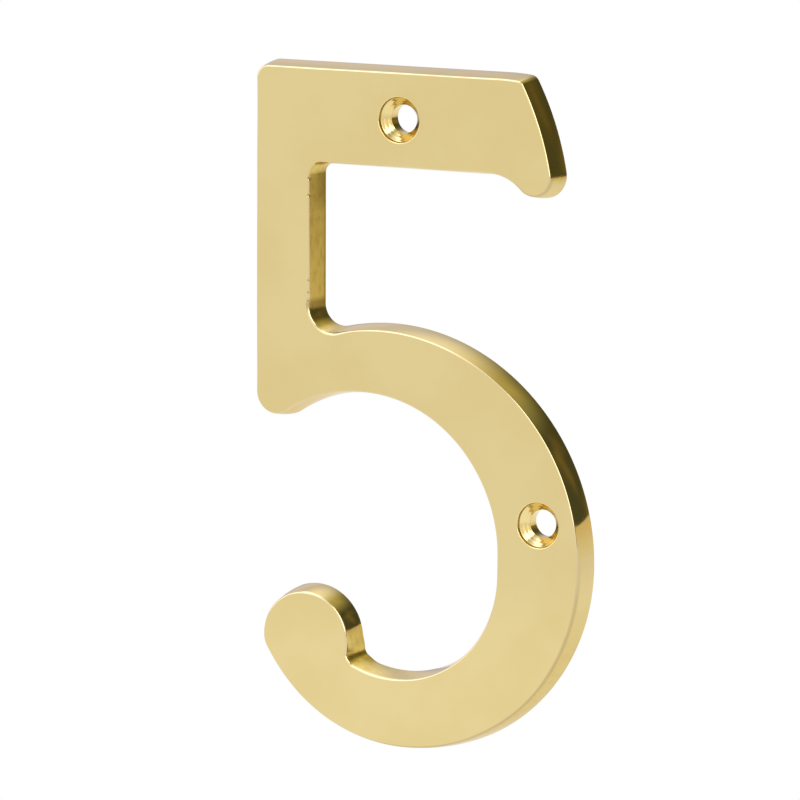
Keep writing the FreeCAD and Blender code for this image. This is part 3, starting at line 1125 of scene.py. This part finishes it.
    @staticmethod
    def grid_normals(points: np.ndarray) -> np.ndarray:
        """Normals of a band that closes on itself along its first axis.

        Args:
            points: Points by station and row.

        Returns:
            Unit normals by station and row.
        """
        along = np.roll(points, -1, axis=0) - np.roll(points, 1, axis=0)
        across = np.gradient(points, axis=1)
        normals = np.cross(along, across)
        return normals / np.linalg.norm(normals, axis=-1, keepdims=True)

    def nicked(self, points: np.ndarray, normals: np.ndarray) -> np.ndarray:
        """Press the nicks into the front edge of the stem's right side.

        Args:
            points: Points of the side wall.
            normals: Normals of the side wall.

        Returns:
            The points with the nicks.
        """
        dented = points.copy()
        for nick in self.nicks:
            dented -= normals * (nick.depth * self.nick_reach(points, nick))[..., None]
        return dented

    def nick_reach(self, points: np.ndarray, nick: Nick) -> np.ndarray:
        """How strongly a nick reaches each point of the side wall.

        Args:
            points: Points of the side wall.
            nick: The nick.

        Returns:
            The share of the nick at each point, from 0 to 1.
        """
        below_edge = self.section.front_easing / 3
        edge_x = self.outline.stem_width - self.section.front_inset + below_edge
        edge_rise = self.section.thickness - below_edge
        centre = self.placed(np.array((edge_x, nick.height)), np.array(edge_rise))
        return np.exp(-(np.linalg.norm(points - centre, axis=-1) / nick.size) ** 2)

    def build_wall(self, mesh: CastingMesh) -> np.ndarray:
        """Build the side wall with its eased edges.

        Args:
            mesh: Mesh that it is added to.

        Returns:
            Indices of the wall's points, by station and row.
        """
        smooth = self.wall_points()
        points = self.nicked(smooth, self.grid_normals(smooth))
        normals = self.grid_normals(points)
        normals[:, 0] = BACKWARD
        normals[:, -1] = FORWARD
        edge = [Surface.FRONT_EDGE] * self.section.easing_steps
        wall = [Surface.WALL] * (points.shape[1] - 1 - len(edge))
        return mesh.add_grid(points, normals, wall + edge)

    def build_hole(self, mesh: CastingMesh, axis: Vector) -> np.ndarray:
        """Build a screw hole with its countersink.

        Args:
            mesh: Mesh that it is added to.
            axis: Place of the hole's axis.

        Returns:
            Indices of the hole's points, by segment and row from the front to the back.
        """
        profile = self.countersink.profile()
        angle = np.arange(self.countersink.segments) * math.tau / self.countersink.segments
        spokes = np.column_stack((np.cos(angle), np.sin(angle)))
        flat = np.array(axis) + spokes[:, None, :] * profile[None, :, :1]
        points = self.placed(flat, np.broadcast_to(profile[:, 1], flat.shape[:2]))
        normals = self.grid_normals(points)
        normals[:, 0] = FORWARD
        normals[:, -1] = BACKWARD
        return mesh.add_grid(points, normals, [Surface.COUNTERSINK] * (len(profile) - 1))

    def cast_skin_and_shade(self, rows: int) -> np.ndarray:
        """How much of the casting's skin, whose darker tone is partly painted shade, is left on the side
        wall, from 0 for none to 1 for all.

        Args:
            rows: Number of rows of the wall.

        Returns:
            The share of skin by station and row.
        """
        rise = np.linspace(0.0, 1.0, rows)
        on_edge = np.arange(rows) >= rows - self.section.easing_steps
        left = np.zeros((len(self.course.run), rows))
        for patch in self.skin_and_shade_patches:
            share = patch.strength(self.course)[:, None]
            kept = np.where(on_edge, patch.edge_share, 1.0)
            left = np.maximum(left, share * kept * (1.0 - patch.front_loss * rise))
        return left

    def wall_painted_shade(self, points: np.ndarray) -> np.ndarray:
        """How much painted shade the side wall has, from 0 to 1: in the nicks and in the patches of painted
        shade.

        Args:
            points: Points of the side wall.

        Returns:
            The share of painted shade by station and row.
        """
        # Painted shade darkens the dents of the nicks.
        shade_share = np.max([self.nick_reach(points, nick) for nick in self.nicks], axis=0)
        for patch in self.painted_shade_patches:
            share = patch.strength(self.course)[:, None]
            beyond = (-points[..., 1] - patch.level) / patch.reach
            shade_share = np.maximum(shade_share, share * np.exp(-beyond ** 2))
        return shade_share

    def build(self) -> bpy.types.Object:
        """Build the casting as one mesh.

        Returns:
            The casting, linked to the scene.
        """
        mesh = CastingMesh()
        wall = self.build_wall(mesh)
        holes = [self.build_hole(mesh, axis) for axis in (self.outline.upper_hole, self.outline.lower_hole)]
        mesh.add_flat([wall[:, -1], *(hole[:, 0] for hole in holes)], FORWARD, Surface.FRONT)
        mesh.add_flat([wall[:, 0], *(hole[:, -1] for hole in holes)], BACKWARD, Surface.BACK)
        data = mesh.finished(self.name)
        skin = np.zeros(mesh.point_count)
        skin[wall] = self.cast_skin_and_shade(wall.shape[1])
        painted_shade = np.zeros(mesh.point_count)
        painted_shade[wall] = self.wall_painted_shade(np.vstack(mesh.points)[wall])
        for hole in holes:
            painted_shade[hole] = self.countersink.painted_shade()
        for layer, values in ((SKIN_AND_SHADE_LAYER, skin), (PAINTED_SHADE_LAYER, painted_shade)):
            data.attributes.new(layer, "FLOAT", "POINT").data.foreach_set("value", values)
        return linked(self.name, data)

    def install(self) -> None:
        """Build and dress the casting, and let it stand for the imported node."""
        casting = self.build()
        for surface in Surface:
            casting.data.materials.append(FINISHES[surface].material())
        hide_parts(self.node)
        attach(casting, self.body)
        LOG.info("%s: %d faces, on body %s", casting.name, len(casting.data.polygons), self.body)


def bearing(azimuth: float, elevation: float) -> Vector:
    """Direction at an azimuth in degrees, 0 behind the figure and growing to the right, and an elevation."""
    turn, rise = math.radians(azimuth), math.radians(elevation)
    return Vector((math.sin(turn) * math.cos(rise), math.cos(turn) * math.cos(rise), math.sin(rise)))


def sheet(name: str, points: Sequence[Vector], material: bpy.types.Material) -> bpy.types.Object:
    """Make a flat sheet of one face.

    Args:
        name: Name of the sheet.
        points: Its corners, in order.
        material: Its material.

    Returns:
        The sheet, linked to the scene.
    """
    mesh = bpy.data.meshes.new(name)
    mesh.from_pydata(points, [], [tuple(range(len(points)))])
    mesh.materials.append(material)
    return linked(name, mesh)


@dataclass(frozen=True)
class Glow:
    """A large soft brightness in the studio's surroundings, with its angles in degrees."""

    azimuth: float
    elevation: float
    full_within: float
    gone_beyond: float
    radiance: Colour


@dataclass(frozen=True)
class Fade:
    """A smooth loss of the table's light along a direction, down to what is left at its end."""

    direction: tuple[float, float, float]
    start: float
    end: float
    left: float


@dataclass(frozen=True)
class Softbox:
    """A flat soft light that faces the figure and that the camera doesn't see."""

    name: str
    offset: Vector
    width: float
    height: float
    radiance: float

    def install(self, middle: Vector) -> None:
        """Make the light.

        Args:
            middle: Middle of the figure, which the light is placed from and faces.
        """
        lamp = bpy.data.lights.new(self.name, "AREA")
        lamp.shape = "RECTANGLE"
        lamp.size = self.width
        lamp.size_y = self.height
        lamp.energy = math.pi * self.radiance * self.width * self.height
        light = linked(self.name, lamp)
        light.location = middle + self.offset
        light.rotation_mode = "QUATERNION"
        light.rotation_quaternion = (middle - light.location).to_track_quat("-Z", "Y")
        light.visible_camera = False
        LOG.info("%s: softbox %.2f by %.2f m", self.name, self.width, self.height)


@dataclass(frozen=True)
class Studio:
    """White table, low card, dark room and soft lights."""

    table_level: float
    table_centre: tuple[float, float] = (-0.25, -0.45)
    table_radius: float = 1.2
    table_segments: int = 128
    table_fades: tuple[Fade, Fade] = (
        Fade((0.0, -1.0, 0.0), 60 * MM, 160 * MM, 0.93),
        Fade((0.912, 0.416, 0.0), 60 * MM, 240 * MM, 0.90),
    )
    card_reach: float = 0.275
    card_width: float = 0.5
    card_height: float = 53 * MM
    card_low: Colour = (0.90, 0.86, 0.74)
    card_high: Colour = (0.79, 0.66, 0.38)
    room: Colour = (0.078, 0.080, 0.041)
    room_warm: Colour = (0.22, 0.165, 0.045)
    patch_size: float = 0.30
    patch_detail: float = 1.0
    patch_range: tuple[float, float] = (0.45, 0.75)
    glows: tuple[Glow, ...] = (
        Glow(-90, 33, 52, 78, (0.71, 0.74, 1.02)),
        Glow(4, 71, 5, 45, (0.52, 0.48, 0.21)),
        Glow(180, 0, 54, 78, (1.0, 0.985, 0.95)),
    )
    softboxes: tuple[Softbox, ...] = (
        Softbox("overhead_softbox", Vector((-0.30, -0.35, 0.85)), 0.55, 0.40, 1.15),
        Softbox("side_softbox", bearing(135, 28) * 0.9, 0.28, 0.85, 2.3),
    )

    def build_table(self) -> None:
        """Build the table that the figure stands on."""
        centre = Vector((*self.table_centre, self.table_level))
        turns = [math.tau * step / self.table_segments for step in range(self.table_segments)]
        rim = [centre + Vector((math.cos(turn), math.sin(turn), 0.0)) * self.table_radius for turn in turns]
        table = sheet("white_table", rim, self.table_material())
        LOG.info("%s: radius %.2f m", table.name, self.table_radius)

    def table_material(self) -> bpy.types.Material:
        """Evenly lit white that dims a little towards the front and the right.

        Returns:
            The material.
        """
        material = bpy.data.materials.new("white_table_top")
        board = NodeBoard(material)
        places = board.coordinates("Object")
        levels = [board.spread(board.along(places, fade.direction), fade.start, fade.end, 1.0, fade.left)
                  for fade in self.table_fades]
        board.shine(opaque(WHITE), board.math("MULTIPLY", *levels))
        return material

    def build_card(self) -> None:
        """Build the low card behind the figure's right side, which only the brass sees."""
        foot = Vector((DIAGONAL, DIAGONAL, 0.0)) * self.card_reach + UPWARD * self.table_level
        aside = Vector((DIAGONAL, -DIAGONAL, 0.0)) * self.card_width / 2
        head = foot + UPWARD * self.card_height
        corners = [foot - aside, foot + aside, head + aside, head - aside]
        card = sheet("low_card", corners, self.card_material())
        card.visible_camera = False
        LOG.info("%s: %.0f mm high", card.name, self.card_height / MM)

    def card_material(self) -> bpy.types.Material:
        """White that yellows towards the card's upper edge.

        Returns:
            The material.
        """
        material = bpy.data.materials.new("low_card_white")
        board = NodeBoard(material)
        rise = board.along(board.coordinates("Object"), UPWARD)
        share = board.spread(rise, self.table_level, self.table_level + self.card_height)
        board.shine(board.blend(share, opaque(self.card_low), opaque(self.card_high)), 1.0)
        return material

    def build_room(self) -> None:
        """Build the surroundings: a dark, patchy room with large glows, white to the camera itself."""
        world = bpy.data.worlds.new("studio_room")
        bpy.context.scene.world = world
        board = NodeBoard(world)
        towards = board.coordinates("Generated")
        patches = board.noise(towards, Marks.MIRROR.value, self.patch_size, self.patch_detail)
        warmed = board.spread(patches, *self.patch_range)
        light = board.blend(warmed, opaque(self.room), opaque(self.room_warm))
        for glow in self.glows:
            nearness = board.along(towards, bearing(glow.azimuth, glow.elevation))
            ends = [math.cos(math.radians(angle)) for angle in (glow.gone_beyond, glow.full_within)]
            inputs = {0: glow.radiance, "Scale": board.spread(nearness, *ends)}
            shone = board.add("ShaderNodeVectorMath", inputs, operation="SCALE").outputs["Vector"]
            light = board.add("ShaderNodeVectorMath", {0: light, 1: shone}).outputs["Vector"]
        seen = board.add("ShaderNodeLightPath", {}).outputs["Is Camera Ray"]
        room = board.add("ShaderNodeBackground", {"Color": light, "Strength": 1.0})
        white = board.add("ShaderNodeBackground", {"Color": opaque(WHITE), "Strength": 1.0})
        both = board.add("ShaderNodeMixShader", {0: seen, 1: room.outputs["Background"],
                                                 2: white.outputs["Background"]})
        board.add("ShaderNodeOutputWorld", {"Surface": both.outputs["Shader"]})

    def install(self) -> None:
        """Set up the table, the card, the surroundings and the lights."""
        self.build_table()
        self.build_card()
        self.build_room()
        middle = UPWARD * (self.table_level / 2)
        for softbox in self.softboxes:
            softbox.install(middle)
        settings = bpy.context.scene.view_settings
        settings.view_transform = "Standard"
        settings.look = "None"


@dataclass(frozen=True)
class PhotoCamera:
    """Camera at the photograph's angle, with a long lens: angles in degrees, lens and sensor in mm."""

    azimuth: float = 28.40
    elevation: float = 9.053
    roll: float = 0.217
    distance: float = 881.9 * MM
    target: Vector = field(default_factory=lambda: Vector((0.391, -4.2, -41.324)) * MM)
    lens: float = 270.0
    sensor: float = 36.0
    nearest_seen: float = 0.05
    farthest_seen: float = 20.0

    def install(self) -> None:
        """Make the camera and look through it."""
        optics = bpy.data.cameras.new("photo_camera")
        optics.lens = self.lens
        optics.sensor_fit = "HORIZONTAL"
        optics.sensor_width = self.sensor
        optics.clip_start = self.nearest_seen
        optics.clip_end = self.farthest_seen
        camera = linked("photo_camera", optics)
        back = bearing(180.0 - self.azimuth, self.elevation)
        camera.location = self.target + back * self.distance
        camera.rotation_mode = "QUATERNION"
        level = (-back).to_track_quat("-Z", "Y")
        camera.rotation_quaternion = level @ Quaternion(UPWARD, math.radians(self.roll))
        bpy.context.scene.camera = camera
        LOG.info("%s: %.0f mm lens at %.2f m", camera.name, self.lens, self.distance)


def main() -> None:
    """Build the casting, the studio and the camera, in that order."""
    logging.basicConfig(level=logging.INFO, format="%(name)s: %(message)s")
    Numeral().install()
    Studio(table_level=cad_box[0].z).install()
    PhotoCamera().install()


if __name__ == "__main__":
    main()
